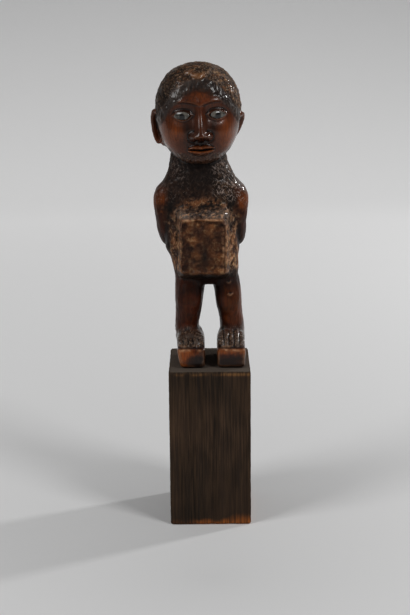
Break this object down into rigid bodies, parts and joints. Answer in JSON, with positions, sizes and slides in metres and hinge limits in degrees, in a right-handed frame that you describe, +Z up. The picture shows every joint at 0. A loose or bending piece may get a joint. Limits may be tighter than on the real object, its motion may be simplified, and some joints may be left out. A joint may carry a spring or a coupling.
{
  "type": "nkisi nkondi figure",
  "caption": "Standing carved wooden power figure with inlaid eyes, a resin disc on the crown and a box on the belly, on a dark block plinth.",
  "frame": {"origin": "centre of the plinth's underside", "axes": "+Z up, the figure faces -Y, +X is towards the figure's own left hand"},
  "size_m": [0.0659, 0.066, 0.3159],
  "materials": {
    "figure_wood": "hardwood, handled to a gloss on face, shoulders, legs and foot blocks, dark crusted patina on hair, neck and chest",
    "plinth_wood": "blackened softwood with upright grain, rubbed brown along the edges",
    "eye_glass": "polished grey-white glass over a dark painted pupil"
  },
  "bodies": {
    "root": {"plinth": "plinth_wood", "figure": "figure_wood", "left_eye_inlay": "eye_glass", "right_eye_inlay": "eye_glass"}
  },
  "joints": []
}
